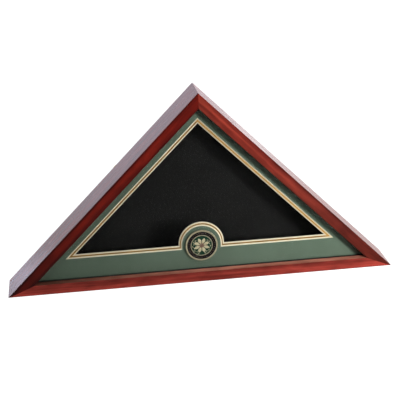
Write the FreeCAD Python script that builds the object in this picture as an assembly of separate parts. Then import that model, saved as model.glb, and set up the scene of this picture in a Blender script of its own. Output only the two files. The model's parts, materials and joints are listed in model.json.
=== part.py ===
import FreeCAD, Part
import math
import os

from FreeCAD import Vector

# A triangular display case that stands on its long side, for a flag folded to a triangle.
# X runs along the base, Y from the glazed front to the removable back, Z up.
# The origin is the centre of the base. Millimetres and degrees throughout.

# Case
CASE_WIDTH = 660.0           # along the base, outer corner to outer corner
CASE_DEPTH = 76.0            # front face to rear edge of the rails
BASE_ANGLE = 45.0            # at each end of the base, so the top corner is square

# Rail moulding
FACE_WIDTH = 18.5            # flat face seen from the front
LIP_DEPTH = 13.5             # thickness of the lip in front of the glass
WALL = 11.0                  # side wall behind the lip, and the land at the rear
OUTER_EASE = 3.0             # rounding of the outer front edge
SIGHT_EASE = 1.2             # rounding of the edge beside the glass
REAR_EASE = 1.5              # rounding of the outer rear edge

# Mitre wedges, driven flush into the rear of each mitre
V_NAIL_SPAN = 6.0            # across the mitre
V_NAIL_LENGTH = 4.6          # along the mitre
V_NAIL_SHEET = 0.7           # thickness of its sheet steel
V_NAIL_DEPTH = 10.0          # driven into the wood

# Glazing and mats, from the lip backwards
PACK_CLEARANCE = 0.5         # round the edge of the glass and the mats
GLASS_THICKNESS = 2.0
MAT_THICKNESS = 1.1
MAT_SIDE = 32.5              # slanted outer faces to the edge of the top mat's window
MAT_BOTTOM = 53.7            # base to the edge of the top mat's window
BEVEL_WIDTH = 2.05           # pale core shown by a mat's bevel cut
INNER_REVEAL = 2.7           # flat band of the inner mat beyond the top mat's bevel
ARCH_RADIUS = 33.2           # top mat's arch over the medallion
ARCH_SIDE_REVEAL = 1.6       # flat band of the inner mat at each side of the arch
ARCH_POST = 0.9              # straight foot of the top mat's arch at the innermost edge of the window

# Medallion
MEDALLION_DIAMETER = 55.0
MEDALLION_DROP = 1.1         # centre of the arch to the medallion's centre
MEDALLION_THICKNESS = 3.0
MEDALLION_RIM = 2.5          # width of the raised outer rim
DIVIDER_RADIUS = 18.8        # outside of the raised ring between ring and field
DIVIDER_WIDTH = 1.2
RELIEF_DEPTH = 1.0           # rim above the sunk floor
DIVIDER_DROP = 0.2           # rim above the divider
ENAMEL_THICKNESS = 0.5
ENAMEL_CLEARANCE = 0.05
MEDALLION_CLEARANCE = 0.5    # to the glass
PAD_THICKNESS = 0.6
PAD_WIDTH = 30.0             # square of foam tape

# Cavity lining and back
LINER_THICKNESS = 5.0
PANEL_THICKNESS = 4.0
PANEL_CLEARANCE = 0.75       # round the edge of the back panel
PANEL_RECESS = 0.5           # rear edge of the rails to the panel
PANEL_SEAT_GAP = 0.2         # cloth to the liners that it seats on
CLOTH_THICKNESS = 0.8
CLOTH_MARGIN = 1.5           # panel's edge to the cloth's edge

# Screws of the rear fittings
SCREW_RADIUS = 1.5
SCREW_LENGTH = 12.0          # into the wood
HEAD_RADIUS = 2.9
HEAD_HEIGHT = 1.9

# Turn buttons, on the middle of the rear land
BUTTON_PIVOT_RADIUS = 4.5    # round end about the screw
BUTTON_TIP_RADIUS = 3.2
BUTTON_REACH = 15.5          # screw to the centre of the tip's round
BUTTON_THICKNESS = 1.5
BUTTON_GAP = 0.15            # under the button, and between it and the screw head
BUTTON_BORE_CLEARANCE = 0.06
BUTTON_FROM_BASE = 120.0     # base corner to the lower button, along a slanted rail
BUTTON_FROM_TOP = 95.0       # top corner to the upper button, along a slanted rail
BUTTON_FROM_END = 180.0      # base corner to a button of the bottom rail

# Ring hangers, on the slanted rails
HANGER_FROM_TOP = 190.0      # top corner to the ring's pivot, along a slanted rail
STRAP_THICKNESS = 0.8
STRAP_WIDTH = 7.0
STRAP_FLAT_START = 0.2       # pivot to the start of the strap's flat, clear of the ring's bore
RING_WIRE_RADIUS = 0.8
RING_WIRE_FLATS = 8          # flats round the drawn wire
RING_BORE_CLEARANCE = 0.08
RING_SIDE_CLEARANCE = 0.15   # ring's arm to the edge of the strap
RING_ARM = 5.5               # pivot to the start of the ring's bow
RING_BEND = 0.85             # bend at each end of the ring's straight side, to the wire's centre
RING_HEAD_GAP = 0.85         # folded ring to the head of the strap's screw

# Places worked out from the sizes above
MITRE_OVERRUN = 1.2          # mitre blocks reach past the outer faces by this factor
BASE_RADIANS = math.radians(BASE_ANGLE)
HALF_WIDTH = CASE_WIDTH / 2
FRONT = -CASE_DEPTH / 2
GLASS_DEPTH = LIP_DEPTH
SPACER_DEPTH = GLASS_DEPTH + GLASS_THICKNESS
SPACER_THICKNESS = MEDALLION_CLEARANCE + MEDALLION_THICKNESS + PAD_THICKNESS
TOP_MAT_DEPTH = SPACER_DEPTH + SPACER_THICKNESS
INNER_MAT_DEPTH = TOP_MAT_DEPTH + MAT_THICKNESS
LINER_DEPTH = INNER_MAT_DEPTH + MAT_THICKNESS
PANEL_DEPTH = CASE_DEPTH - PANEL_RECESS - PANEL_THICKNESS
CLOTH_DEPTH = PANEL_DEPTH - CLOTH_THICKNESS
LINER_END = CLOTH_DEPTH - PANEL_SEAT_GAP
ARCH_HEIGHT = MAT_BOTTOM + 2 * BEVEL_WIDTH + INNER_REVEAL + ARCH_POST
MEDALLION_HEIGHT = ARCH_HEIGHT - MEDALLION_DROP
ARCH_LIFT = INNER_REVEAL - ARCH_SIDE_REVEAL
LAND_MIDDLE = WALL / 2
REARWARD = Vector(0, 1, 0)


def spot(x, depth, z):
    """Point at a depth behind the front face."""
    return Vector(x, FRONT + depth, z)


def inset_corners(side_inset, base_inset):
    """Left, top and right corners, as (x, z), of the outline drawn in from the outer faces."""
    half = HALF_WIDTH - (side_inset + base_inset * math.cos(BASE_RADIANS)) / math.sin(BASE_RADIANS)
    top = (HALF_WIDTH * math.sin(BASE_RADIANS) - side_inset) / math.cos(BASE_RADIANS)
    return (-half, base_inset), (0.0, top), (half, base_inset)


def triangle_sheet(inset, depth, thickness):
    """Flat three-cornered sheet, drawn in evenly from the outer faces."""
    corners = [spot(x, depth, z) for x, z in inset_corners(inset, inset)]
    face = Part.Face(Part.makePolygon(corners + corners[:1]))
    return face.extrude(REARWARD * thickness)


def rounded_face(corners, place):
    """Face through flat corners (a, b, radius), each rounded by its radius and placed in space."""
    bends = []
    for index, (a, b, radius) in enumerate(corners):
        here = Vector(a, b, 0)
        to_last = (Vector(*corners[index - 1][:2], 0) - here).normalize()
        to_next = (Vector(*corners[(index + 1) % len(corners)][:2], 0) - here).normalize()
        half_angle = to_last.getAngle(to_next) / 2
        reach = radius / math.tan(half_angle)
        crown = here
        if radius:
            crown = here + (to_last + to_next).normalize() * (radius / math.sin(half_angle) - radius)
        bends.append((here + to_last * reach, crown, here + to_next * reach, radius))
    edges = []
    for index, (start, crown, end, radius) in enumerate(bends):
        if radius:
            edges.append(Part.Arc(place(start), place(crown), place(end)).toShape())
        edges.append(Part.makeLine(place(end), place(bends[(index + 1) % len(bends)][0])))
    return Part.Face(Part.Wire(edges))


class Side:
    """One side of the case: the line of its outer face, and the direction into the case."""

    def __init__(self, start, end):
        self.start = Vector(start[0], FRONT, start[1])
        self.end = Vector(end[0], FRONT, end[1])
        self.length = (self.end - self.start).Length
        self.along = (self.end - self.start).normalize()
        self.inward = self.along.cross(REARWARD)

    def point(self, distance, inset, depth):
        return self.start + self.along * distance + self.inward * inset + REARWARD * depth

    def mitre_wedge(self):
        """Block between the two mitre planes of this side."""
        centre = Vector(0, FRONT, HALF_WIDTH * math.tan(BASE_RADIANS / 2))
        corners = [centre] + [centre + (corner - centre) * MITRE_OVERRUN for corner in (self.start, self.end)]
        return Part.Face(Part.makePolygon(corners + corners[:1])).extrude(REARWARD * CASE_DEPTH)

    def strip(self, section):
        """Strip of a section of (inset, depth, radius) corners, mitred at both ends."""
        face = rounded_face(section, lambda flat: self.point(0, flat.x, flat.y))
        return face.extrude(self.along * self.length).common(self.mitre_wedge())


def rectangle(inset, far_inset, depth, far_depth):
    """Square-edged section of a strip."""
    return [(inset, depth, 0), (far_inset, depth, 0), (far_inset, far_depth, 0), (inset, far_depth, 0)]


LEFT_CORNER, TOP_CORNER, RIGHT_CORNER = inset_corners(0, 0)
SIDES = {
    "left": Side(TOP_CORNER, LEFT_CORNER),
    "right": Side(RIGHT_CORNER, TOP_CORNER),
    "bottom": Side(LEFT_CORNER, RIGHT_CORNER),
}


# Fittings on the rear land: each stands on a point of it, with its length along the rail

def on_land(side, distance, direction, shape):
    """Copy of a fitting drawn about its own origin, laid on the land and pointing along it."""
    across = REARWARD.cross(direction)
    turn = FreeCAD.Rotation(direction, across, REARWARD, "ZXY")
    placed = shape.copy()
    seat = FreeCAD.Placement(side.point(distance, LAND_MIDDLE, CASE_DEPTH), turn)
    placed.Placement = seat.multiply(shape.Placement)
    return placed


def lifted(shape, x, z):
    moved = shape.copy()
    moved.translate(Vector(x, 0, z))
    return moved


def screw_standing(grip):
    """Screw whose head clamps or retains a fitting of thickness grip above the land."""
    head = Part.makeCylinder(HEAD_RADIUS, HEAD_HEIGHT, Vector(0, 0, grip))
    shank = Part.makeCylinder(SCREW_RADIUS, SCREW_LENGTH + grip, Vector(0, 0, -SCREW_LENGTH))
    return head.fuse(shank)


def turn_button():
    """Pear-shaped plate that turns about the screw at its wide end."""
    lean = math.asin((BUTTON_PIVOT_RADIUS - BUTTON_TIP_RADIUS) / BUTTON_REACH)
    tangent = Vector(math.sin(lean), math.cos(lean), 0)
    mirrored = Vector(tangent.x, -tangent.y, 0)
    tip = Vector(BUTTON_REACH, 0, 0)
    ahead = Vector(1, 0, 0)
    wide_start, wide_end = tangent * BUTTON_PIVOT_RADIUS, mirrored * BUTTON_PIVOT_RADIUS
    tip_start, tip_end = tip + mirrored * BUTTON_TIP_RADIUS, tip + tangent * BUTTON_TIP_RADIUS
    edges = [
        Part.Arc(wide_start, ahead * -BUTTON_PIVOT_RADIUS, wide_end).toShape(),
        Part.makeLine(wide_end, tip_start),
        Part.Arc(tip_start, tip + ahead * BUTTON_TIP_RADIUS, tip_end).toShape(),
        Part.makeLine(tip_end, wide_start),
    ]
    plate = Part.Face(Part.Wire(edges)).extrude(Vector(0, 0, BUTTON_THICKNESS))
    bore = Part.makeCylinder(SCREW_RADIUS + BUTTON_BORE_CLEARANCE, BUTTON_THICKNESS)
    return lifted(plate.cut(bore), 0, BUTTON_GAP)


BUTTON_GRIP = BUTTON_THICKNESS + 2 * BUTTON_GAP
RING_BORE_RADIUS = RING_WIRE_RADIUS + RING_BORE_CLEARANCE
LOOP_RADIUS = RING_BORE_RADIUS + STRAP_THICKNESS
RING_HALF_WIDTH = STRAP_WIDTH / 2 + RING_SIDE_CLEARANCE + RING_WIRE_RADIUS
RING_REACH = RING_ARM + RING_HALF_WIDTH + RING_WIRE_RADIUS
STRAP_SCREW = RING_REACH + RING_HEAD_GAP + HEAD_RADIUS


def hanger_strap():
    """Strap with a screw hole at one end, curled at the other round the ring's straight side."""
    half = STRAP_WIDTH / 2
    points = [Vector(x, y, 0) for x, y in ((STRAP_SCREW, half), (STRAP_FLAT_START, half),
                                           (STRAP_FLAT_START, -half), (STRAP_SCREW, -half))]
    outline = [Part.makeLine(start, end) for start, end in zip(points, points[1:])]
    outline.append(Part.Arc(points[-1], Vector(STRAP_SCREW + half, 0, 0), points[0]).toShape())
    plate = Part.Face(Part.Wire(outline)).extrude(Vector(0, 0, STRAP_THICKNESS))
    plate = plate.cut(Part.makeCylinder(SCREW_RADIUS, STRAP_THICKNESS, Vector(STRAP_SCREW, 0, 0)))
    loop_start = Vector(0, -half, LOOP_RADIUS)
    across = Vector(0, 1, 0)
    loop = Part.makeCylinder(LOOP_RADIUS, STRAP_WIDTH, loop_start, across)
    bore = Part.makeCylinder(RING_BORE_RADIUS, STRAP_WIDTH, loop_start, across)
    return plate.fuse(loop).cut(bore).removeSplitter()


def hanger_ring():
    """D-shaped wire ring about its straight side, folded down over the strap."""
    def at(x, y):
        return Vector(x, y, LOOP_RADIUS)

    wide = RING_HALF_WIDTH
    bar = wide - RING_BEND
    bend = RING_BEND * (1 - math.sqrt(0.5))
    path = [
        Part.makeLine(at(0, -bar), at(0, bar)),
        Part.Arc(at(0, bar), at(bend, wide - bend), at(RING_BEND, wide)).toShape(),
        Part.makeLine(at(RING_BEND, wide), at(RING_ARM, wide)),
        Part.Arc(at(RING_ARM, wide), at(RING_ARM + wide, 0), at(RING_ARM, -wide)).toShape(),
        Part.makeLine(at(RING_ARM, -wide), at(RING_BEND, -wide)),
        Part.Arc(at(RING_BEND, -wide), at(bend, bend - wide), at(0, -bar)).toShape(),
    ]
    section = []
    for index in range(RING_WIRE_FLATS + 1):
        turn = 2 * math.pi * (index + 0.5) / RING_WIRE_FLATS
        offset = Vector(math.cos(turn), 0, math.sin(turn)) * RING_WIRE_RADIUS
        section.append(at(0, -bar) + offset)
    return Part.Wire(path).makePipeShell([Part.makePolygon(section)], True, True)


def v_nails():
    """One V of sheet steel across each mitre, its point towards the outer corner."""
    nails = []
    for corner, middle in zip(inset_corners(0, 0), inset_corners(LAND_MIDDLE, LAND_MIDDLE)):
        mitre = (spot(middle[0], 0, middle[1]) - spot(corner[0], 0, corner[1])).normalize()
        across = mitre.cross(REARWARD)
        point = spot(middle[0], CASE_DEPTH - V_NAIL_DEPTH, middle[1]) - mitre * (V_NAIL_LENGTH / 2)
        leg = mitre * V_NAIL_LENGTH
        spread = across * (V_NAIL_SPAN / 2)
        sheet = mitre * (V_NAIL_SHEET * math.hypot(V_NAIL_LENGTH, V_NAIL_SPAN / 2) / (V_NAIL_SPAN / 2))
        corners = [point, point + leg + spread, point + leg + spread + sheet,
                   point + sheet, point + leg - spread + sheet, point + leg - spread]
        nails.append(Part.Face(Part.makePolygon(corners + corners[:1])).extrude(REARWARD * V_NAIL_DEPTH))
    return Part.makeCompound(nails)


# Where the rear fittings stand: side, distance along it, and the way the fitting points

SLOPE = SIDES["right"].length
LEFT, RIGHT, BOTTOM = SIDES["left"], SIDES["right"], SIDES["bottom"]
TURN_BUTTONS = {
    "upper_left": (LEFT, BUTTON_FROM_TOP, LEFT.along),
    "lower_left": (LEFT, SLOPE - BUTTON_FROM_BASE, LEFT.along),
    "upper_right": (RIGHT, SLOPE - BUTTON_FROM_TOP, -RIGHT.along),
    "lower_right": (RIGHT, BUTTON_FROM_BASE, -RIGHT.along),
    "bottom_left": (BOTTOM, BUTTON_FROM_END, BOTTOM.along),
    "bottom_right": (BOTTOM, BOTTOM.length - BUTTON_FROM_END, -BOTTOM.along),
}
HANGERS = {
    "left": (LEFT, HANGER_FROM_TOP, LEFT.along),
    "right": (RIGHT, SLOPE - HANGER_FROM_TOP, -RIGHT.along),
}


# Mats and medallion

def window_edges(border, lift, depth):
    """Edges of the window, drawn in by border from the edge of the top mat's window. The arch is
    narrower by lift at each side, and springs higher by as much, so its top stays."""
    left, top, right = inset_corners(MAT_SIDE + border, MAT_BOTTOM + border)
    radius, height = ARCH_RADIUS + border - lift, ARCH_HEIGHT + lift
    foot, spring = (radius, MAT_BOTTOM + border), (radius, height)
    first_run = [spot(x, depth, z) for x, z in (left, top, right, foot, spring)]
    last_run = [spot(-x, depth, z) for x, z in (spring, foot, right)]
    edges = [Part.makeLine(start, end) for start, end in zip(first_run, first_run[1:])]
    edges.append(Part.Arc(first_run[-1], spot(0, depth, height + radius), last_run[0]).toShape())
    edges += [Part.makeLine(start, end) for start, end in zip(last_run, last_run[1:])]
    return edges


def bevelled_mat(border, lift, depth):
    """Mat whose window is cut on a bevel, wider at the front than at the rear."""
    front = window_edges(border, lift, depth)
    rear = window_edges(border + BEVEL_WIDTH, lift, depth + MAT_THICKNESS)
    faces = [Part.makeRuledSurface(near, far) for near, far in zip(front, rear)]
    faces += [Part.Face(Part.Wire(edges)) for edges in (front, rear)]
    window = Part.Solid(Part.makeShell(faces))
    if window.Volume < 0:
        window.reverse()
    return triangle_sheet(WALL + PACK_CLEARANCE, depth, MAT_THICKNESS).cut(window)


RIM_RADIUS = MEDALLION_DIAMETER / 2
RING_OUTSIDE = RIM_RADIUS - MEDALLION_RIM
FIELD_RADIUS = DIVIDER_RADIUS - DIVIDER_WIDTH
MEDALLION_BACK = TOP_MAT_DEPTH - PAD_THICKNESS
FLOOR = MEDALLION_THICKNESS - RELIEF_DEPTH


def turned(corners):
    """Solid of revolution about the medallion's axis, from (radius, height above its back) corners."""
    section = rounded_face(corners, lambda flat: spot(flat.x, MEDALLION_BACK - flat.y, MEDALLION_HEIGHT))
    return section.revolve(spot(0, 0, MEDALLION_HEIGHT), REARWARD, 360)


def medallion_body():
    divider_top = MEDALLION_THICKNESS - DIVIDER_DROP
    return turned([
        (0, 0, 0), (RIM_RADIUS, 0, 0), (RIM_RADIUS, MEDALLION_THICKNESS, 0),
        (RING_OUTSIDE, MEDALLION_THICKNESS, 0), (RING_OUTSIDE, FLOOR, 0), (DIVIDER_RADIUS, FLOOR, 0),
        (DIVIDER_RADIUS, divider_top, 0), (FIELD_RADIUS, divider_top, 0), (FIELD_RADIUS, FLOOR, 0),
        (0, FLOOR, 0),
    ])


def enamel(inner, outer):
    """Layer of enamel on the medallion's floor, between two radii."""
    top = FLOOR + ENAMEL_THICKNESS
    return turned([(inner, FLOOR, 0), (outer, FLOOR, 0), (outer, top, 0), (inner, top, 0)])


def glass_spacer(side):
    return side.strip(rectangle(WALL, FACE_WIDTH, SPACER_DEPTH, TOP_MAT_DEPTH))


def liner(side):
    return side.strip(rectangle(WALL, WALL + LINER_THICKNESS, LINER_DEPTH, LINER_END))


# Build

rail_section = [
    (0, 0, OUTER_EASE), (FACE_WIDTH, 0, SIGHT_EASE), (FACE_WIDTH, LIP_DEPTH, 0),
    (WALL, LIP_DEPTH, 0), (WALL, CASE_DEPTH, 0), (0, CASE_DEPTH, REAR_EASE),
]
nodes = {"corner_v_nails": v_nails()}

button_screw = screw_standing(BUTTON_GRIP)
hanger_screw = lifted(screw_standing(STRAP_THICKNESS), STRAP_SCREW, 0)
screw_groups = {"turn_button_screws": (TURN_BUTTONS, button_screw), "hanger_screws": (HANGERS, hanger_screw)}
for name, (places, screw) in screw_groups.items():
    nodes[name] = Part.makeCompound([on_land(*place, screw) for place in places.values()])
for name, place in TURN_BUTTONS.items():
    nodes["turn_button_" + name] = on_land(*place, turn_button())
for name, place in HANGERS.items():
    nodes[name + "_hanger_strap"] = on_land(*place, hanger_strap())
    nodes[name + "_hanger_ring"] = on_land(*place, hanger_ring())

driven_in = [nodes[name] for name in ("corner_v_nails", "turn_button_screws", "hanger_screws")]
for name, side in SIDES.items():
    nodes[name + "_rail"] = side.strip(rail_section).cut(driven_in)
    nodes[name + "_glass_spacer"] = glass_spacer(side)
    nodes[name + "_liner"] = liner(side)

nodes["glass_pane"] = triangle_sheet(WALL + PACK_CLEARANCE, GLASS_DEPTH, GLASS_THICKNESS)
nodes["top_mat"] = bevelled_mat(0, 0, TOP_MAT_DEPTH)
nodes["inner_mat"] = bevelled_mat(BEVEL_WIDTH + INNER_REVEAL, ARCH_LIFT, INNER_MAT_DEPTH)

nodes["medallion_body"] = medallion_body()
nodes["medallion_enamel_ring"] = enamel(DIVIDER_RADIUS + ENAMEL_CLEARANCE, RING_OUTSIDE - ENAMEL_CLEARANCE)
nodes["medallion_enamel_field"] = enamel(0, FIELD_RADIUS - ENAMEL_CLEARANCE)
nodes["medallion_pad"] = Part.makeBox(PAD_WIDTH, PAD_THICKNESS, PAD_WIDTH,
                                      spot(-PAD_WIDTH / 2, MEDALLION_BACK, MEDALLION_HEIGHT - PAD_WIDTH / 2))

nodes["back_panel"] = triangle_sheet(WALL + PANEL_CLEARANCE, PANEL_DEPTH, PANEL_THICKNESS)
nodes["velvet_backing"] = triangle_sheet(WALL + PANEL_CLEARANCE + CLOTH_MARGIN, CLOTH_DEPTH, CLOTH_THICKNESS)

os.makedirs("parts", exist_ok=True)
for name, shape in nodes.items():
    shape.exportStep("parts/" + name + ".step")
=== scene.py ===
import json
import math

import bmesh
import bpy
from mathutils import Matrix, Vector, noise


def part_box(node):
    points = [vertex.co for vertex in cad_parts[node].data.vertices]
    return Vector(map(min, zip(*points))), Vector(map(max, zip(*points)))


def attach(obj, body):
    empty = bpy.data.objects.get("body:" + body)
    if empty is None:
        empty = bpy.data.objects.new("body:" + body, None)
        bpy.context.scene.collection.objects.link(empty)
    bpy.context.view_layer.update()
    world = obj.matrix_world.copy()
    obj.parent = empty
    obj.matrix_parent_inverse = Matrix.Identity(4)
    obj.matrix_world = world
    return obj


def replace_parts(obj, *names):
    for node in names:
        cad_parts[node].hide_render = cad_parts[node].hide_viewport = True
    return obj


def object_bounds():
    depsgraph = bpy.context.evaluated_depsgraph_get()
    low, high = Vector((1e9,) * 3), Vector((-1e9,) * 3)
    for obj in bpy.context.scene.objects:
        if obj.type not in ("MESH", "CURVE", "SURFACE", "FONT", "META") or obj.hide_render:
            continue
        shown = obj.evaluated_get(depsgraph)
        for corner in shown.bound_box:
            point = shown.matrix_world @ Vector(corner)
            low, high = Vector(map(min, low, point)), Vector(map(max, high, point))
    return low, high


# A triangular wooden display case on a pale floor, seen from a little above and left of its front.
# The frame gives every place and most sizes, in metres: X along the base, Y to the back, Z up.

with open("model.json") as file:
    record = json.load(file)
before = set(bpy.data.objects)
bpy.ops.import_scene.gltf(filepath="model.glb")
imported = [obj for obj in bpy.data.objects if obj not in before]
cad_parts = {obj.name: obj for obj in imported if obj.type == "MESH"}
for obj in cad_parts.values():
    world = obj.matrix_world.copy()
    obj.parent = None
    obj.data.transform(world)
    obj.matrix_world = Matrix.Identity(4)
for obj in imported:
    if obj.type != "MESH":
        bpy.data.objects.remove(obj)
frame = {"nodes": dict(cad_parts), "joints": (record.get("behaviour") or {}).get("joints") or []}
cad_low, cad_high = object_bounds()
nodes = frame["nodes"]
joints = {joint["child"]: joint for joint in frame["joints"]}

MM = 0.001
QUARTER = math.pi / 2
OUTWARD = Vector((0, -1, 0))           # from the front of the case towards the viewer
REARWARD = Vector((0, 1, 0))

# Camera, found by fitting the case's corners in the photograph
CAMERA_AZIMUTH = math.radians(-7.36)
CAMERA_ELEVATION = math.radians(20.30)
CAMERA_ROLL = math.radians(-1.81)
CAMERA_DISTANCE = 1748.0 * MM
CAMERA_AIM = Vector((-2.6, -38.0, 148.7)) * MM
SENSOR_WIDTH = 36.0
LENS = 95.03

# Rails
SLANT = math.radians(45)
RAIL_REACH = cad_high.x / math.sqrt(2)                  # from the middle of a slanted rail to its tips
RAIL_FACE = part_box("bottom_rail")[1].z - cad_low.z      # width of a rail's face
ON_FACET = 0.97                        # cosine: faces turned this nearly to a side of the rail belong to it
MAT_FRONT = 0.95                       # cosine: faces of a mat turned less to the viewer show its core

# Rounding of edges, and which of them still look sharp after it
WELD = 0.001 * MM                      # points this close together are one
SLIVER = 0.02 * MM                     # shorter edges are closed up
FLAT = math.radians(0.5)               # faces that differ by less are one flat
SHARP = math.radians(40)               # sharper edges are rounded
ROUNDING_STEPS = 3
BUTTON_EDGE = 0.35 * MM                # rounding of a stamped turn button
STRAP_EDGE = 0.18 * MM
MEDALLION_EDGE = 0.3 * MM
PANEL_EDGE = 0.6 * MM
LINER_EDGE = 1.2 * MM                  # felt turned over the board's edge
CRISP = math.radians(35)               # sharper edges stay crisp
CRISP_SCREW = math.radians(40)
CRISP_CURVED = math.radians(60)        # on relief, cloth and wire

# Medallion relief, with its sizes in millimetres
PETALS = 8
OUTER_PETAL = (2.6, 13.8, 5.6, 0.62)   # start, end, width, height
INNER_PETAL = (1.8, 5.2, 2.8, 0.8)
PETAL_FULLNESS = 1.25                  # over 1, a petal is widest past its middle
LEAF_FULLNESS = 1.0
BOSS = (2.3, 0.95)                     # radius, height
BOSS_BEADS = 9
BOSS_BEAD = (0.55, 0.95)
SPRIG_RADIUS = 14.4
SPRIG_LEAVES = 8
SPRIG_LEAF = (3.4, 1.3, 0.45)          # length, width, height
SPRIG_LEAN = 0.5                       # leaf off the sprig's line, in radians
SPRIG_START = math.radians(-74)
SPRIG_END = math.radians(34)
RING_MARKS = 18
RING_BEAD = (0.5, 0.35)
RING_LEAF = (2.4, 0.8, 0.3)
LEAF_ROWS = 10
LEAF_COLUMNS = 8
LEAF_OUTLINE = 0.8                     # under 1, a leaf's outline is blunter than a sine
LEAF_CROWN = 0.5                       # the same for its height along the middle
LEAF_SHOULDER = 4                      # power of its section: higher is flatter on top
CREASE_DEPTH = 0.35                    # share of the leaf's height
CREASE_WIDTH = 0.22                    # share of its half width
BEAD_SIDES = 16
BEAD_ROWS = 5
SUNK = 0.06 * MM                       # in metres: relief reaches into the enamel by this

# Foam tape and velvet
PAD_CORNER = 2.0 * MM
PAD_BULGE = 0.25 * MM
PAD_CORNER_STEPS = 6
PAD_ROWS = 6
CLOTH_STEP = 6.0 * MM                  # spacing of the velvet's points
CLOTH_RIPPLE = 0.12 * MM               # unevenness of the glued velvet
RIPPLE_SIZE = 45.0 * MM
CLOTH_EDGE = 0.45                      # share of its thickness left at a cut edge

# Hanger rings and screws
WIRE_SIDES = 20
BOW_STEPS = 28
RING_BEND = 1.06                       # radius of the ring's corners, in radii of its wire
BEND_STEPS = 5
SCREW_SIDES = 48
SCREW_SPREAD = 10.0 * MM               # points this near to a screw's axis are its own
SCREW_TIP = 0.5 * MM                   # points nearer than this are on its axis
DRIVEN_TURN = 40.0                     # radians for each metre along the case: no two screws stop alike
HEAD_ROWS = 9
HEAD_RIM = 0.45                        # height of a pan head's upright rim, as a share of the head's
HEAD_DOME = 4                          # power of its section: higher is flatter on top
RECESS_REACH = 1.75 * MM               # cross recess, screw's axis to the end of an arm
RECESS_WIDTH = 0.75 * MM
RECESS_DEPTH = 1.1 * MM
RECESS_RISE = 0.6                      # share of its depth that an arm loses by its end
THREAD_PITCH = 1.3 * MM
THREAD_DEPTH = 0.28 * MM
THREAD_STEPS = 8                       # rings in each pitch
THREAD_FLANK = 2.5                     # higher is steeper
PLAIN_SHANK = 2 * THREAD_PITCH         # shank without thread, under the head
POINT_LENGTH = 3                       # length of a screw's point, in radii of its shank
POINT_WIDTH = 0.12                     # width of the tip, as a share of the shank's

# Floor and surroundings
FLOOR_REACH = 14.0
FLOOR_SIDES = 64
FLOOR_GAP = 0.05 * MM                  # between the floor and the case, so that the two faces don't mix
WORLD_LIGHT = 0.09                     # light from the surroundings, which are white where they are looked at
CASE_MIDDLE = Vector((0.0, 0.0, 0.12))  # what the lamps face


# Colour and nodes

def linear(hex_colour):
    """Linear colour of an sRGB hex value."""
    shares = [int(hex_colour[at:at + 2], 16) / 255 for at in (0, 2, 4)]
    return [c / 12.92 if c <= 0.04045 else ((c + 0.055) / 1.055) ** 2.4 for c in shares] + [1.0]


def per(size):
    """Pattern scale that gives features of a size in millimetres, on coordinates in metres."""
    return 1 / (size * MM)


def add(tree, kind, sockets, out=0, **settings):
    """Adds a node with its settings, and its values and links by socket. Gives one of its outputs."""
    made = tree.nodes.new("ShaderNode" + kind)
    for name, value in settings.items():
        setattr(made, name, value)
    for name, value in sockets.items():
        if isinstance(value, bpy.types.NodeSocket):
            tree.links.new(value, made.inputs[name])
        else:
            made.inputs[name].default_value = value
    return made.outputs[out]


def finish_of(name, even, patterns=None):
    """Material whose shader has even values, then the sockets that patterns(tree, place) gives."""
    made = bpy.data.materials.new(name)
    made.use_nodes = True
    tree = made.node_tree
    shader = tree.nodes["Principled BSDF"]
    for socket, value in even.items():
        shader.inputs[socket].default_value = value
    if patterns:
        place = add(tree, "TexCoord", {}, "Object")
        for socket, source in patterns(tree, place).items():
            tree.links.new(source, shader.inputs[socket])
    return made


# Finishes

NOISE_SPAN = {"From Min": 0.3, "From Max": 0.7}     # nearly all values of a noise lie between these
WAVE_PERIOD = math.tau / 20                         # of a wave pattern at a scale of 1
EVEN = ((0.0, 1.0), (RAIL_REACH, 1.0))              # tones that change nothing

GROWTH_BAND = (190, 11, 7)             # grain along, through and across a board, in millimetres
PORE = (26, 1.1, 1.1)
STAIN_PATCH = (34, 16, 16)
PORE_COLOUR = linear("45120E")
GLASS_TINT = linear("FAFDFB")
RUBBED = 0.14                          # roughness that rubbing adds to plated metal


def toned(tree, reach, tones):
    """Tone at a reach, from pairs of a place in metres and a share of the written colour, in order."""
    first, last = tones[0][0], tones[-1][0]
    share = add(tree, "MapRange", {"Value": reach, "From Min": first, "From Max": last})
    ramp = add(tree, "ValToRGB", {"Fac": share})
    stops = ramp.node.color_ramp.elements
    stops[0].color = [tones[0][1]] * 3 + [1.0]
    stops[-1].color = [tones[-1][1]] * 3 + [1.0]
    for place, tone in tones[1:-1]:
        stops.new((place - first) / (last - first)).color = [tone] * 3 + [1.0]
    return ramp


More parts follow.
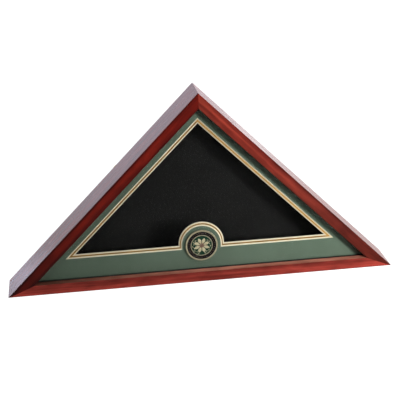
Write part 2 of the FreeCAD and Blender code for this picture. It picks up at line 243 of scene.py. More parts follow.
def stained_cherry(name, board, stain, tones=EVEN, edges=EVEN):
    # Cherry, planed, wiped with a red-brown stain and sprayed with satin lacquer.
    # Soft growth bands, short dark pores and patches of deeper stain run along the board. Along a face the
    # colour also carries painted light and shade (tones), and it changes towards the face's edges (edges).
    # The lacquer has little gloss seen from the front, and turns pale at a glancing angle.
    lean, start = board
    dark, light = stain

    def patterns(tree, place):
        along = add(tree, "VectorRotate", {"Vector": place, "Angle": lean}, rotation_type="Y_AXIS")
        cut = add(tree, "VectorMath", {0: along, 1: start}, operation="ADD")
        banded, pored, patched = (
            add(tree, "VectorMath", {0: cut, 1: [per(size) for size in sizes]}, operation="MULTIPLY")
            for sizes in (GROWTH_BAND, PORE, STAIN_PATCH))
        bands = add(tree, "TexNoise", {"Vector": banded, "Scale": 1, "Detail": 3, "Distortion": 0.6})
        streaks = add(tree, "TexNoise", {"Vector": pored, "Scale": 1, "Detail": 2})
        mottle = add(tree, "TexNoise", {"Vector": patched, "Scale": 1, "Detail": 2})
        growth = add(tree, "MapRange", {"Value": bands, "From Min": 0.32, "From Max": 0.68})
        pores = add(tree, "MapRange", {"Value": streaks, "From Min": 0.56, "From Max": 0.72, "To Max": 0.5})
        clouded = add(tree, "MapRange", {"Value": mottle, **NOISE_SPAN, "To Min": 0.72, "To Max": 1.22})
        reach = add(tree, "SeparateXYZ", {"Vector": along}, "X")
        across = add(tree, "SeparateXYZ", {"Vector": along}, "Z")
        # Painted light and shade: the tones along the face scale the stain's colour; the edge tones darken or
        # lighten it across the face.
        painted_light_along = toned(tree, reach, tones)
        crosswise = toned(tree, across, edges)
        painted_light_and_edges = add(tree, "Math", {0: painted_light_along, 1: crosswise}, operation="MULTIPLY")
        uneven = add(tree, "Math", {0: clouded, 1: painted_light_and_edges}, operation="MULTIPLY")
        wood = add(tree, "MixRGB", {"Fac": growth, "Color1": linear(dark), "Color2": linear(light)})
        stained = add(tree, "VectorMath", {0: wood, "Scale": uneven}, operation="SCALE")
        colour = add(tree, "MixRGB", {"Fac": pores, "Color1": stained, "Color2": PORE_COLOUR})
        satin = add(tree, "MapRange", {
            "Value": streaks, "From Min": 0.3, "From Max": 0.75, "To Min": 0.2, "To Max": 0.3})
        bump = add(tree, "Bump", {"Height": pores, "Strength": 0.25, "Distance": -0.06 * MM})
        return {"Base Color": colour, "Roughness": satin, "Normal": bump}
    return finish_of(name, {"IOR": 1.5, "Specular IOR Level": 0.055}, patterns)


def picture_glass():
    # Float glass with an anti-reflective coating: next to no mirror image, so the mats read as if unglazed.
    # The low IOR stands for the coating. The lamps' light passes straight through.
    made = finish_of("anti_reflective_glass", {
        "Base Color": GLASS_TINT, "Roughness": 0.0, "IOR": 1.05, "Transmission Weight": 1.0})
    tree = made.node_tree
    shader = tree.nodes["Principled BSDF"].outputs[0]
    lamp = add(tree, "LightPath", {}, "Is Shadow Ray")
    passing = add(tree, "BsdfTransparent", {"Color": GLASS_TINT})
    pane = add(tree, "MixShader", {0: lamp, 1: shader, 2: passing})
    tree.links.new(pane, tree.nodes["Material Output"].inputs["Surface"])
    return made


def mat_board(name, colour, flecks, even, tones=EVEN):
    # Rag mat board, calendered and faced with coloured paper: a dry, slightly fibrous and cloudy surface.
    # Its tones run from the middle of the case to the right slope; on the gold paper they paint a sheen,
    # paler along the right side of the window.
    def patterns(tree, place):
        turned = add(tree, "VectorRotate", {"Vector": place, "Angle": -SLANT}, rotation_type="Y_AXIS")
        across = add(tree, "SeparateXYZ", {"Vector": turned}, "Z")
        felt = add(tree, "TexNoise", {"Vector": place, "Scale": per(2.2), "Detail": 4, "Roughness": 0.65})
        cloud = add(tree, "TexNoise", {"Vector": place, "Scale": per(38), "Detail": 2})
        speck = add(tree, "MapRange", {"Value": felt, "From Min": 0.35, "From Max": 0.7, "To Max": 0.55})
        drift = add(tree, "MapRange", {"Value": cloud, **NOISE_SPAN, "To Min": 0.95, "To Max": 1.05})
        paper = add(tree, "MixRGB", {"Fac": speck, "Color1": linear(colour), "Color2": linear(flecks)})
        # Where tones are given, as on the gold paper, they paint a sheen into the colour.
        uneven = add(tree, "Math", {0: drift, 1: toned(tree, across, tones)}, operation="MULTIPLY")
        shaded = add(tree, "VectorMath", {0: paper, "Scale": uneven}, operation="SCALE")
        bump = add(tree, "Bump", {"Height": felt, "Strength": 0.2, "Distance": 0.05 * MM})
        return {"Base Color": shaded, "Normal": bump}
    return finish_of(name, even, patterns)


def plated(name, bright, worn, roughness, size):
    # Metal, stamped or struck, then plated: bright, with a haze of duller patches from rubbing.
    def patterns(tree, place):
        haze = add(tree, "TexNoise", {"Vector": place, "Scale": per(size), "Detail": 4, "Roughness": 0.6})
        patch = add(tree, "MapRange", {"Value": haze, "From Min": 0.35, "From Max": 0.7})
        colour = add(tree, "MixRGB", {"Fac": patch, "Color1": linear(bright), "Color2": linear(worn)})
        dull = add(tree, "MapRange", {
            "Value": haze, **NOISE_SPAN, "To Min": roughness, "To Max": roughness + RUBBED})
        return {"Base Color": colour, "Roughness": dull}
    return finish_of(name, {"Metallic": 1.0}, patterns)


def soft_enamel(name, colour, shade):
    # Soft enamel, flowed into the struck recess and baked: smooth, a little uneven where it has sunk.
    def patterns(tree, place):
        flow = add(tree, "TexNoise", {"Vector": place, "Scale": per(5), "Detail": 2})
        baked = add(tree, "MixRGB", {"Fac": flow, "Color1": linear(colour), "Color2": linear(shade)})
        bump = add(tree, "Bump", {"Height": flow, "Strength": 0.3, "Distance": 0.05 * MM})
        return {"Base Color": baked, "Normal": bump}
    return finish_of(name, {"Roughness": 0.22, "IOR": 1.5, "Specular IOR Level": 0.06}, patterns)


def pile(name, colour, lit, strand, even):
    # Woven or felted pile, dyed black: no gloss, a soft bloom where the fibres lean.
    def patterns(tree, place):
        fibre = add(tree, "TexNoise", {"Vector": place, "Scale": per(strand), "Detail": 3, "Roughness": 0.7})
        brushed = add(tree, "TexNoise", {"Vector": place, "Scale": per(60), "Detail": 2})
        leaning = add(tree, "MapRange", {"Value": brushed, **NOISE_SPAN, "To Max": 0.6})
        nap = add(tree, "Math", {0: fibre, 1: leaning}, operation="MULTIPLY")
        cloth = add(tree, "MixRGB", {"Fac": nap, "Color1": linear(colour), "Color2": linear(lit)})
        bump = add(tree, "Bump", {"Height": fibre, "Strength": 0.15, "Distance": 0.08 * MM})
        return {"Base Color": cloth, "Normal": bump}
    return finish_of(name, even, patterns)


def pressed_hardboard():
    # Hardboard, wood fibre pressed against a wire screen: brown, flecked, with a faint woven print.
    # The real screen has about 1 mm between wires. It is drawn at 2.4 mm so that it shows.
    def patterns(tree, place):
        fibre = add(tree, "TexNoise", {"Vector": place, "Scale": per(3.2), "Detail": 5, "Roughness": 0.7})
        stain = add(tree, "TexNoise", {"Vector": place, "Scale": per(85), "Detail": 3})
        fleck = add(tree, "MapRange", {"Value": fibre, "From Min": 0.36, "From Max": 0.68})
        drift = add(tree, "MapRange", {"Value": stain, **NOISE_SPAN, "To Min": 0.86, "To Max": 1.12})
        board = add(tree, "MixRGB", {"Fac": fleck, "Color1": linear("5A3A22"), "Color2": linear("7D5636")})
        shaded = add(tree, "VectorMath", {0: board, "Scale": drift}, operation="SCALE")
        wires = {"Vector": place, "Scale": per(2.4) * WAVE_PERIOD, "Distortion": 0.4}
        warp = add(tree, "TexWave", wires, "Fac", bands_direction="X")
        weft = add(tree, "TexWave", wires, "Fac", bands_direction="Z")
        screen = add(tree, "Math", {0: warp, 1: weft}, operation="MULTIPLY")
        bump = add(tree, "Bump", {"Height": screen, "Strength": 0.35, "Distance": 0.12 * MM})
        return {"Base Color": shaded, "Normal": bump}
    return finish_of("pressed_hardboard", {"Roughness": 0.62, "Specular IOR Level": 0.3}, patterns)


def extruded_polystyrene():
    # Polystyrene strip, extruded in black, with a dull skin.
    def patterns(tree, place):
        skinned = add(tree, "TexNoise", {"Vector": place, "Scale": per(6), "Detail": 3})
        tone = add(tree, "MixRGB", {"Fac": skinned, "Color1": linear("151515"), "Color2": linear("222222")})
        return {"Base Color": tone}
    return finish_of("extruded_black_polystyrene", {"Roughness": 0.6, "Specular IOR Level": 0.25}, patterns)


def closed_cell_foam():
    # Polyethylene foam tape, die cut: off white, with the fine cells of its cut edge.
    def patterns(tree, place):
        cells = add(tree, "TexVoronoi", {"Vector": place, "Scale": per(0.5)}, "Distance")
        tone = add(tree, "MixRGB", {"Fac": cells, "Color1": linear("E6E4DC"), "Color2": linear("C9C6BC")})
        bump = add(tree, "Bump", {"Height": cells, "Strength": 0.5, "Distance": 0.1 * MM})
        return {"Base Color": tone, "Normal": bump}
    return finish_of("closed_cell_foam", {"Roughness": 0.85}, patterns)


# Painted sheen: the gold paper is drawn paler along the right side of the window, where the light catches the
# foil
GOLD_PAINTED_SHEEN = ((RAIL_REACH - 41.0 * MM, 1.0), (RAIL_REACH - 37.3 * MM, 1.95), (RAIL_REACH, 1.95))

GREEN_BOARD = mat_board("green_faced_board", "546154", "616D61", {
    "Roughness": 0.9, "Specular IOR Level": 0.15})
GOLD_BOARD = mat_board("antique_gold_paper", "805B2B", "95703C", {
    "Roughness": 0.5, "Metallic": 0.2, "Specular IOR Level": 0.1}, GOLD_PAINTED_SHEEN)
CREAM_CORE = mat_board("cream_core", "D7C9B3", "CBBCA4", {
    "Roughness": 0.92, "Specular IOR Level": 0.1})
STRUCK_BRASS = plated("struck_champagne_brass", "A3977E", "857A63", 0.34, 3)
CREAM_PLATE = plated("pale_gold_plate", "BFB396", "9A8E72", 0.36, 2)
ROSE_PLATE = plated("rose_gold_plate", "7A5D50", "5F473C", 0.36, 2)
HARDWARE = plated("brass_plated_steel", "D8B36A", "A98543", 0.24, 6)
WEDGE_STEEL = plated("rolled_wedge_steel", "A3A3A3", "6F6F70", 0.38, 3)
BLACK_ENAMEL = soft_enamel("black_soft_enamel", "0C0B0D", "1A171A")
GREEN_ENAMEL = soft_enamel("green_soft_enamel", "12291F", "1E3C2E")
VELVET = pile("black_velvet", "161515", "252424", 0.9, {
    "Roughness": 1.0, "Specular IOR Level": 0.15, "Sheen Weight": 0.03, "Sheen Roughness": 0.4})
FELT = pile("black_wool_felt", "0D0D0E", "232325", 1.4, {
    "Roughness": 1.0, "Specular IOR Level": 0.05})
SPACER_BLACK = extruded_polystyrene()


# Mesh helpers

def new_piece(name, shape, body, slot, *finishes):
    """Object for a finished shape, riding on a body."""
    mesh = bpy.data.meshes.new(name)
    shape.to_mesh(mesh)
    shape.free()
    piece = bpy.data.objects.new(name, mesh)
    bpy.context.scene.collection.objects.link(piece)
    for finish in finishes:
        mesh.materials.append(finish)
    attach(piece, body)
    return piece


def smooth_by_angle(shape, limit=CRISP):
    """Faces turned outwards and smoothed, with edges sharper than the limit kept crisp."""
    bmesh.ops.recalc_face_normals(shape, faces=shape.faces)
    for face in shape.faces:
        face.smooth = True
    for edge in shape.edges:
        edge.smooth = len(edge.link_faces) == 2 and edge.calc_face_angle(0) < limit


def eased(name, node, body, slot, width, finish):
    """Copy of a CAD piece with its sharp edges rounded, which stands for it."""
    shape = bmesh.new()
    shape.from_mesh(nodes[node].data)
    bmesh.ops.remove_doubles(shape, verts=shape.verts, dist=WELD)
    bmesh.ops.dissolve_limit(shape, angle_limit=FLAT, verts=shape.verts, edges=shape.edges)
    bmesh.ops.dissolve_degenerate(shape, dist=SLIVER, edges=shape.edges)
    sharp = [edge for edge in shape.edges if len(edge.link_faces) == 2 and edge.calc_face_angle(0) > SHARP]
    bmesh.ops.bevel(shape, geom=sharp, offset=width, segments=ROUNDING_STEPS, profile=0.5, affect="EDGES",
                    clamp_overlap=False)
    smooth_by_angle(shape)
    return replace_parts(new_piece(name, shape, body, slot, finish), node)


def round_angles(count):
    """Angles of points spread evenly round a circle."""
    return [2 * math.pi * step / count for step in range(count)]


def ring_of(shape, points, place=Matrix()):
    """Points added to a shape, at a place."""
    return [shape.verts.new(place @ Vector(point)) for point in points]


def skin(shape, rings, ends="capped"):
    """Quads between rings of equal length, whose ends are capped, open or joined. Gives the faces."""
    pairs = list(zip(rings, rings[1:]))
    if ends == "joined":
        pairs.append((rings[-1], rings[0]))
    faces = []
    for near, far in pairs:
        for at in range(len(near)):
            after = (at + 1) % len(near)
            faces.append(shape.faces.new((near[at], near[after], far[after], far[at])))
    if ends == "capped":
        faces.append(shape.faces.new(rings[0][::-1]))
        faces.append(shape.faces.new(rings[-1]))
    return faces


# Wooden rails: one board each, with its grain along it

LEFT_BOARD = (SLANT, (0.3, 0.1, 0.7))          # lean, and where in the wood the board was cut
RIGHT_BOARD = (-SLANT, (1.9, 0.6, 0.2))
BOTTOM_BOARD = (0.0, (3.1, 0.9, 0.4))
LIP_STAIN_AND_LIGHT = ("9D5E4C", "C17D69")               # thin, where the stain was wiped off the lip, and paler still as painted light on the bottom rail's upward lip

# Tones of the wood's colour, set to match the photograph.
# Tones run from a rail's left end to its right end: painted light and shade, for the light falling off across
# the case.
# Edges run outwards across a slanted rail's face, and upwards across the bottom one's: a slanted face is
# darker towards both its edges, the bottom face lighter towards its foot and darker towards its lip.
LEFT_PAINTED_LIGHT = ((-RAIL_REACH, 0.72), (-0.14, 0.76), (-0.07, 1.28), (RAIL_REACH, 1.65))
RIGHT_PAINTED_LIGHT = ((-RAIL_REACH, 1.6), (-0.1, 1.42), (-0.03, 0.86), (0.03, 0.76), (RAIL_REACH, 0.36))
BOTTOM_PAINTED_LIGHT = ((-0.3, 1.9), (-0.23, 1.36), (-0.1, 1.2), (0.2, 1.02), (0.3, 1.4))
# Painted shade: the bottom lip is drawn darker towards its left end, where the left rail shades it.
BOTTOM_LIP_PAINTED_SHADE = ((-0.27, 0.32), (0.0, 1.08))
SLANT_EDGES = ((RAIL_REACH - RAIL_FACE, 0.5), (RAIL_REACH - 0.8 * RAIL_FACE, 0.82),
               (RAIL_REACH - 0.5 * RAIL_FACE, 0.95), (RAIL_REACH - 0.25 * RAIL_FACE, 0.95), (RAIL_REACH, 0.7))
BOTTOM_EDGES = ((0.0, 1.3), (0.35 * RAIL_FACE, 1.1), (0.7 * RAIL_FACE, 0.88), (RAIL_FACE, 0.6))

FACE, LIP, SLOPE = 0, 1, 2                     # order of a rail's finishes
RAILS = {                                      # direction into the case, and finishes
    # The left face's darker stain and the right face's lighter one are partly different boards and partly
    # painted light: the sheen that the grain throws differs with each rail's slant.
    "left_rail": ((1, 0, -1), [
        stained_cherry("stained_cherry_left", LEFT_BOARD, ("4A0C08", "711A10"), LEFT_PAINTED_LIGHT, SLANT_EDGES),
        stained_cherry("thinly_stained_painted_light_lip_left", LEFT_BOARD, LIP_STAIN_AND_LIGHT),
        stained_cherry("stained_cherry_left_slope", LEFT_BOARD, ("591A14", "862D22"))]),
    "right_rail": ((-1, 0, -1), [
        stained_cherry("stained_cherry_right", RIGHT_BOARD, ("642019", "96392B"), RIGHT_PAINTED_LIGHT, SLANT_EDGES),
        stained_cherry("thinly_stained_painted_light_lip_right", RIGHT_BOARD, LIP_STAIN_AND_LIGHT),
        stained_cherry("stained_cherry_right_slope", RIGHT_BOARD, ("6B251D", "9C3F31"))]),
    "bottom_rail": ((0, 0, 1), [
        stained_cherry("stained_cherry_bottom", BOTTOM_BOARD, ("6F251E", "A13E34"),
                       BOTTOM_PAINTED_LIGHT, BOTTOM_EDGES),
        stained_cherry("thinly_stained_painted_light_lip_bottom", BOTTOM_BOARD, LIP_STAIN_AND_LIGHT, BOTTOM_LIP_PAINTED_SHADE)]),
}
glass_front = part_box("glass_pane")[0].y
for name, (inward, finishes) in RAILS.items():
    rail = nodes[name].data
    rail.materials[FACE] = finishes[FACE]
    for finish in finishes[LIP:]:
        rail.materials.append(finish)
    for face in rail.polygons:
        facing = face.normal.dot(Vector(inward).normalized())
        lip = facing > ON_FACET and face.center.y < glass_front
        slope = -facing > ON_FACET and len(finishes) > SLOPE
        face.material_index = LIP if lip else SLOPE if slope else FACE


# Pieces whose shape is right as it is

PLAIN_FINISHES = {
    "glass_pane": picture_glass(),
    "left_glass_spacer": SPACER_BLACK,
    "right_glass_spacer": SPACER_BLACK,
    "bottom_glass_spacer": SPACER_BLACK,
    "corner_v_nails": WEDGE_STEEL,
    "medallion_enamel_ring": BLACK_ENAMEL,
    "medallion_enamel_field": GREEN_ENAMEL,
}
for name, finish in PLAIN_FINISHES.items():
    nodes[name].data.materials[0] = finish


# Mats: coloured faces, with the pale core shown by the bevel

for name, paper in (("top_mat", GREEN_BOARD), ("inner_mat", GOLD_BOARD)):
    board = nodes[name].data
    board.materials[0] = paper
    board.materials.append(CREAM_CORE)
    for face in board.polygons:
        face.material_index = int(face.normal.dot(OUTWARD) < MAT_FRONT)


# Medallion

medallion_low, medallion_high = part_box("medallion_body")
centre = (medallion_low + medallion_high) / 2
enamel_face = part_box("medallion_enamel_field")[0].y
ring_points = [v.co for v in nodes["medallion_enamel_ring"].data.vertices]
ring_radii = [math.hypot(p.x - centre.x, p.z - centre.z) for p in ring_points]
ring_middle = (min(ring_radii) + max(ring_radii)) / 2


def on_enamel(turn, radius, lean=0.0):
    """Frame on the enamel: X along the turn's radius, leaning off it, Y across it, Z towards the viewer."""
    spin = Matrix.Rotation(turn + lean, 4, "Z")
    spot = Matrix.Translation((radius * math.cos(turn), radius * math.sin(turn), 0))
    upright = Matrix(((1, 0, 0, centre.x), (0, 0, -1, enamel_face), (0, 1, 0, centre.z), (0, 0, 0, 1)))
    return upright @ spot @ spin


def leaf(shape, place, length, width, height, fullness, finish=0):
    """Raised leaf or petal from the place's origin along its X: a crowned blade, creased down its middle."""
    rings = []
    for row in range(1, LEAF_ROWS):
        along = row / LEAF_ROWS
        half = width / 2 * math.sin(math.pi * along ** fullness) ** LEAF_OUTLINE
        crown = height * math.sin(math.pi * along) ** LEAF_CROWN
        ring = [(along * length, -half, -SUNK)]
        for column in range(1, LEAF_COLUMNS):
            side = 2 * column / LEAF_COLUMNS - 1
            crease = 1 - CREASE_DEPTH * math.exp(-(side / CREASE_WIDTH) ** 2)
            ring.append((along * length, side * half, crown * (1 - side ** LEAF_SHOULDER) * crease))
        ring.append((along * length, half, -SUNK))
        rings.append(ring_of(shape, ring, place))
    faces = skin(shape, rings, "open")
    for end, ring, order in ((0.0, rings[0], -1), (length, rings[-1], 1)):
        tip = shape.verts.new(place @ Vector((end, 0, -SUNK)))
        for near, far in zip(ring, ring[1:] + ring[:1]):
            faces.append(shape.faces.new((near, far, tip)[::order]))
    for face in faces:
        face.material_index = finish


def bead(shape, place, radius, height, finish=0):
    """Low round bead on the enamel, sunk below its widest part."""
    rings = []
    for row in range(BEAD_ROWS):
        rise = QUARTER * row / BEAD_ROWS
        girth = radius * math.cos(rise)
        level = height * math.sin(rise)
        ring = [(girth * math.cos(a), girth * math.sin(a), level) for a in round_angles(BEAD_SIDES)]
        rings.append(ring_of(shape, ring, place))
    foot = [(radius * math.cos(a), radius * math.sin(a), -SUNK) for a in round_angles(BEAD_SIDES)]
    for face in skin(shape, [ring_of(shape, foot, place)] + rings):
        face.material_index = finish


eased("medallion_disc", "medallion_body", "case", "die_struck_brass", MEDALLION_EDGE, STRUCK_BRASS)

rosette = bmesh.new()
for (start, end, width, height), shift, finish in ((OUTER_PETAL, 0.5, 0), (INNER_PETAL, 0.0, 1)):
    for petal in range(PETALS):
        turn = 2 * math.pi * (petal + shift) / PETALS
        foot = on_enamel(turn, start * MM)
        leaf(rosette, foot, (end - start) * MM, width * MM, height * MM, PETAL_FULLNESS, finish)
radius, height = (size * MM for size in BOSS)
bead(rosette, on_enamel(0, 0), radius, height, 1)
for turn in round_angles(BOSS_BEADS):
    bead(rosette, on_enamel(turn, radius), *(size * MM for size in BOSS_BEAD), 1)
smooth_by_angle(rosette, CRISP_CURVED)
new_piece("medallion_rosette", rosette, "case", "die_struck_brass", CREAM_PLATE, ROSE_PLATE)

sprigs = bmesh.new()
length, width, height = (size * MM for size in SPRIG_LEAF)
for side in (1, -1):
    for index in range(SPRIG_LEAVES):
        turn = SPRIG_START + (SPRIG_END - SPRIG_START) * (index / (SPRIG_LEAVES - 1))
        turn = turn if side > 0 else math.pi - turn
        lean = side * (QUARTER + (SPRIG_LEAN if index % 2 else -SPRIG_LEAN))
        leaf(sprigs, on_enamel(turn, SPRIG_RADIUS * MM, lean), length, width, height, LEAF_FULLNESS)
smooth_by_angle(sprigs, CRISP_CURVED)
new_piece("medallion_sprigs", sprigs, "case", "die_struck_brass", CREAM_PLATE)

border = bmesh.new()
length, width, height = (size * MM for size in RING_LEAF)
for turn in round_angles(RING_MARKS):
    bead(border, on_enamel(turn, ring_middle), *(size * MM for size in RING_BEAD))
    between = turn + math.pi / RING_MARKS
    tail = on_enamel(between, ring_middle, QUARTER) @ Matrix.Translation((-length / 2, 0, 0))
    leaf(border, tail, length, width, height, LEAF_FULLNESS)
smooth_by_angle(border, CRISP_CURVED)
new_piece("medallion_border", border, "case", "die_struck_brass", ROSE_PLATE)


# Foam tape behind the medallion: a square whose cut sides bulge as it is pressed

def foam_pad():
    low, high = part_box("medallion_pad")
    middle = (low + high) / 2
    half = (high - low) / 2
    shape = bmesh.new()
    rings = []
    for row in range(PAD_ROWS + 1):
        depth = low.y + (high.y - low.y) * row / PAD_ROWS
        curve = PAD_CORNER + PAD_BULGE * (math.sin(math.pi * row / PAD_ROWS) - 1)
        ring = []
        for corner in range(4):
            diagonal = math.pi / 4 + QUARTER * corner
            x = middle.x + math.copysign(half.x - PAD_CORNER, math.cos(diagonal))
            z = middle.z + math.copysign(half.z - PAD_CORNER, math.sin(diagonal))
            for step in range(PAD_CORNER_STEPS + 1):
                angle = QUARTER * (corner + step / PAD_CORNER_STEPS)
                ring.append((x + curve * math.cos(angle), depth, z + curve * math.sin(angle)))
        rings.append(ring_of(shape, ring))
    skin(shape, rings)
    smooth_by_angle(shape)
    pad = new_piece("medallion_foam_tape", shape, "case", "foam_tape", closed_cell_foam())
    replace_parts(pad, "medallion_pad")


foam_pad()


# Velvet glued to the back panel: a three-cornered sheet, a little uneven, its cut edges pressed thin

def velvet_sheet():
    low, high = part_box("velvet_backing")
    half_width, height, thickness = high.x, high.z - low.z, high.y - low.y
    rows = round(height / CLOTH_STEP)
    shape = bmesh.new()
    fronts, backs = [], []
    for row in range(rows + 1):
        share = row / rows
        columns = rows - row
        front_row, back_row = [], []
        for column in range(columns + 1):
            across = 2 * column / columns - 1 if columns else 0.0
            x, z = across * half_width * (1 - share), low.z + height * share
            edge = column in (0, columns) or row == 0
            wave = noise.noise(Vector((x, 0, z)) / RIPPLE_SIZE) * 0.5 + 0.5
            depth = high.y - thickness * CLOTH_EDGE if edge else low.y + CLOTH_RIPPLE * wave
            front_row.append(shape.verts.new((x, depth, z)))
            back_row.append(shape.verts.new((x, high.y, z)))
        fronts.append(front_row)
        backs.append(back_row)
    for grid, order in ((fronts, 1), (backs, -1)):
        for near, far in zip(grid, grid[1:]):
            for at in range(len(far)):
                shape.faces.new((near[at], near[at + 1], far[at])[::order])
                if at + 1 < len(far):
                    shape.faces.new((near[at + 1], far[at + 1], far[at])[::order])
    bottom = (fronts[0], backs[0])
    right = ([row[-1] for row in fronts], [row[-1] for row in backs])
    left = ([row[0] for row in fronts[::-1]], [row[0] for row in backs[::-1]])
    for front_row, back_row in (bottom, right, left):
        for at in range(len(front_row) - 1):
            shape.faces.new((front_row[at], back_row[at], back_row[at + 1], front_row[at + 1]))
    smooth_by_angle(shape, CRISP_CURVED)
    sheet = new_piece("velvet_sheet", shape, "back", "black_velvet", VELVET)
    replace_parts(sheet, "velvet_backing")


velvet_sheet()


# Back panel and felt-wrapped liners, with their edges softened

eased("back_board", "back_panel", "back", "hardboard", PANEL_EDGE, pressed_hardboard())
for side in ("left", "right", "bottom"):
    eased(side + "_felt_liner", side + "_liner", "case", "black_felt_board", LINER_EDGE, FELT)


# Turn buttons, straps, rings and screws

BUTTONS = [name for name in nodes if name.startswith("turn_button_") and name != "turn_button_screws"]
for name in BUTTONS:
    plate = name.replace("turn_button", "button_plate")
    eased(plate, name, name, "brass_plated_steel", BUTTON_EDGE, HARDWARE)
for side in ("left", "right"):
    eased(side + "_strap_plate", side + "_hanger_strap", "case", "brass_plated_steel", STRAP_EDGE, HARDWARE)


def wire_ring(side):
    """Round wire ring about its straight side, as wide and long as the frame's."""
    node = side + "_hanger_ring"
    pivot, axis = Vector(joints[node]["pos_m"]), Vector(joints[node]["axis"]).normalized()
    low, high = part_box(node)
    wire = (high.y - low.y) / 2
    points = [v.co - pivot for v in nodes[node].data.vertices]
    half = max(p.dot(axis) for p in points) - wire
    down = axis.cross(REARWARD)
    down = down if max(p.dot(down) for p in points) > -min(p.dot(down) for p in points) else -down
    reach = max(p.dot(down) for p in points) - wire
    bend = wire * RING_BEND
    corner = [(half - bend + bend * math.sin(a), bend - bend * math.cos(a))
              for a in (QUARTER * step / BEND_STEPS for step in range(BEND_STEPS + 1))]
    bow = [(half * math.cos(a), reach - half + half * math.sin(a))
           for a in (math.pi * step / BOW_STEPS for step in range(BOW_STEPS + 1))]
    line = corner + bow + [(-across, along) for across, along in corner[::-1]]
    shape = bmesh.new()
    rings = []
    for at, (across, along) in enumerate(line):
        before, after = Vector(line[at - 1]), Vector(line[(at + 1) % len(line)])
        ahead = (after - before).normalized()
        middle = pivot + axis * across + down * along
        outside = axis * ahead.y - down * ahead.x
        rings.append(ring_of(shape, [middle + (outside * math.cos(a) + REARWARD * math.sin(a)) * wire
                                     for a in round_angles(WIRE_SIDES)]))
    skin(shape, rings, "joined")
    smooth_by_angle(shape, CRISP_CURVED)
    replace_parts(new_piece(side + "_wire_ring", shape, node, "brass_plated_steel", HARDWARE), node)


for side in ("left", "right"):
    wire_ring(side)


def wood_screw(shape, place, head_radius, head_height, shank_radius, shank_length):
    """Pan head with a cross recess, on a threaded shank. The place's Z runs out of the wood from the seat."""
    head = []
    for row in range(HEAD_ROWS):
        radius = head_radius * (1 - row / HEAD_ROWS)
        dome = math.sqrt(1 - (radius / head_radius) ** HEAD_DOME)
        height = head_height * (HEAD_RIM + (1 - HEAD_RIM) * dome)
        ring = []
        for angle in round_angles(SCREW_SIDES):
            x, y = radius * math.cos(angle), radius * math.sin(angle)
            arm = max(abs(x), abs(y)) / RECESS_REACH
            inside = min(abs(x), abs(y)) < RECESS_WIDTH / 2 and arm < 1
            ring.append((x, y, height - (RECESS_DEPTH * (1 - RECESS_RISE * arm) if inside else 0)))
        head.append(ring_of(shape, ring, place))
    seat = [(head_radius * math.cos(a), head_radius * math.sin(a), 0) for a in round_angles(SCREW_SIDES)]
    seat = ring_of(shape, seat, place)
    thread = []
    levels = round(shank_length / THREAD_PITCH * THREAD_STEPS)
    for level in range(levels + 1):
        z = -shank_length * level / levels
        taper = min(1, (shank_length + z) / (POINT_LENGTH * shank_radius) + POINT_WIDTH)
        cut = THREAD_DEPTH if z < -PLAIN_SHANK else 0
        ring = []
        for step, angle in enumerate(round_angles(SCREW_SIDES)):
            phase = (z / THREAD_PITCH + step / SCREW_SIDES) % 1
            radius = (shank_radius - cut * min(1, THREAD_FLANK * abs(phase - 0.5))) * taper
            ring.append((radius * math.cos(angle), radius * math.sin(angle), z))
        thread.append(ring_of(shape, ring, place))
    skin(shape, thread[::-1] + [seat] + head)


def screw_set(name, node, spots):
    """One piece for all the screws of a node, which stand on these spots."""
    low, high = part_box(node)
    points = [v.co for v in nodes[node].data.vertices]
    seat = sorted({round(p.y, 6) for p in points})[-2]      # the last level before the tops of the heads
    shape = bmesh.new()
    for spot in spots:
        reaches = [math.hypot(p.x - spot.x, p.z - spot.z) for p in points]
        head_radius = max(reach for reach in reaches if reach < SCREW_SPREAD)
        shank_radius = min(reach for reach in reaches if reach > SCREW_TIP)
        turn = Matrix.Rotation(spot.x * DRIVEN_TURN, 4, "Z")
        upright = Matrix(((-1, 0, 0, spot.x), (0, 0, 1, seat), (0, 1, 0, spot.z), (0, 0, 0, 1)))
        wood_screw(shape, upright @ turn, head_radius, high.y - seat, shank_radius, seat - low.y)
    smooth_by_angle(shape, CRISP_SCREW)
    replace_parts(new_piece(name, shape, "case", "brass_plated_steel", HARDWARE), node)


strap_spots = []
for sign in (1, -1):
    own = [v.co for v in nodes["hanger_screws"].data.vertices if v.co.x * sign > 0]
    strap_spots.append(Vector([(max(p[i] for p in own) + min(p[i] for p in own)) / 2 for i in range(3)]))
screw_set("button_screws", "turn_button_screws", [Vector(joints[name]["pos_m"]) for name in BUTTONS])
screw_set("strap_screws", "hanger_screws", strap_spots)


# Floor, world, lamps and camera

def seen_directly(tree):
    """1 for what the camera sees, straight or by way of gloss and glass, 0 for light on surfaces."""
    rays = add(tree, "LightPath", {}).node.outputs
    glossy = add(tree, "Math", {0: rays["Is Camera Ray"], 1: rays["Is Glossy Ray"]}, operation="MAXIMUM")
    seen = add(tree, "Math", {0: glossy, 1: rays["Is Transmission Ray"]}, operation="MAXIMUM")
    unscattered = add(tree, "Math", {0: rays["Diffuse Depth"], 1: 0.5}, operation="LESS_THAN")
    return add(tree, "Math", {0: seen, 1: unscattered}, operation="MULTIPLY")


def pale_floor():
    # Seamless paper: pale grey that takes a soft shadow, lifted to white where it is looked at.
    made = bpy.data.materials.new("seamless_paper")
    made.use_nodes = True
    tree = made.node_tree
    paper = add(tree, "BsdfDiffuse", {"Color": linear("B8B8B8")})
    lift = add(tree, "Emission", {"Strength": seen_directly(tree)})
    both = add(tree, "AddShader", {0: paper, 1: lift})
    tree.links.new(both, tree.nodes["Material Output"].inputs["Surface"])
    return made


floor_shape = bmesh.new()
bmesh.ops.create_circle(floor_shape, cap_ends=True, segments=FLOOR_SIDES, radius=FLOOR_REACH)
floor_mesh = bpy.data.meshes.new("floor")
floor_shape.to_mesh(floor_mesh)
floor_shape.free()
floor_mesh.materials.append(pale_floor())
floor = bpy.data.objects.new("floor", floor_mesh)
floor.location.z = cad_low.z - FLOOR_GAP
bpy.context.scene.collection.objects.link(floor)

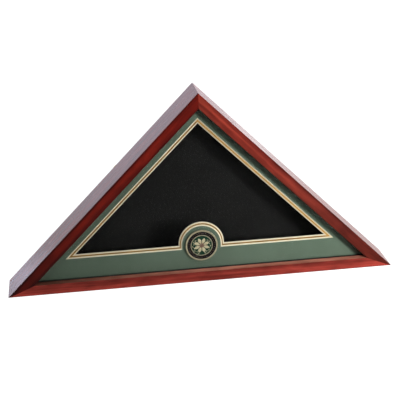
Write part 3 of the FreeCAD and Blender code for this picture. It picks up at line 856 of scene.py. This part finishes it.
world = bpy.data.worlds.new("studio")
bpy.context.scene.world = world
world.use_nodes = True
sky = world.node_tree
level = add(sky, "MapRange", {"Value": seen_directly(sky), "To Min": WORLD_LIGHT, "To Max": 1.0})
sky.links.new(level, sky.nodes["Background"].inputs["Strength"])
sky.nodes["Background"].inputs["Color"].default_value = linear("FFFFFF")


def soft_box(name, place, width, height, power, tint="FFFFFF", mirrored=True):
    """Soft box that faces the case, in metres and watts. Not mirrored, it leaves no glare on lacquer."""
    light = bpy.data.lights.new(name, "AREA")
    light.shape = "RECTANGLE"
    light.size = width
    light.size_y = height
    light.energy = power
    light.color = linear(tint)[:3]
    lamp = bpy.data.objects.new(name, light)
    lamp.location = place
    lamp.rotation_euler = (CASE_MIDDLE - Vector(place)).to_track_quat("-Z", "Y").to_euler()
    lamp.visible_camera = False
    lamp.visible_glossy = mirrored
    bpy.context.scene.collection.objects.link(lamp)


# The key throws the right rail's shadow on the mats, the overhead box fills the front,
# and the backdrop and the two rim boxes light the slopes from behind.
soft_box("key", place=(0.47, -0.50, 0.22), width=0.09, height=0.09, power=3.6, mirrored=False)
soft_box("overhead", place=(0.0, -0.35, 1.5), width=1.0, height=1.0, power=7.8)
soft_box("backdrop", place=(0.0, 4.2, 0.8), width=6.0, height=1.6, power=48.0, tint="E0E4FF")
soft_box("right_rim", place=(1.3, 1.5, 0.2), width=1.3, height=0.4, power=5.4)
soft_box("left_rim", place=(-1.27, 1.45, 0.09), width=0.5, height=0.18, power=3.9, tint="DDE0FF")

camera = bpy.data.objects.new("camera", bpy.data.cameras.new("camera"))
camera.data.sensor_width = SENSOR_WIDTH
camera.data.lens = LENS
back = Vector((math.sin(CAMERA_AZIMUTH) * math.cos(CAMERA_ELEVATION),
               -math.cos(CAMERA_AZIMUTH) * math.cos(CAMERA_ELEVATION), math.sin(CAMERA_ELEVATION)))
level_view = (-back).to_track_quat("-Z", "Y").to_matrix().to_4x4()
camera.matrix_world = (Matrix.Translation(CAMERA_AIM + back * CAMERA_DISTANCE) @ level_view
                       @ Matrix.Rotation(CAMERA_ROLL, 4, "Z"))
bpy.context.scene.collection.objects.link(camera)
bpy.context.scene.camera = camera
bpy.context.scene.view_settings.view_transform = "Standard"
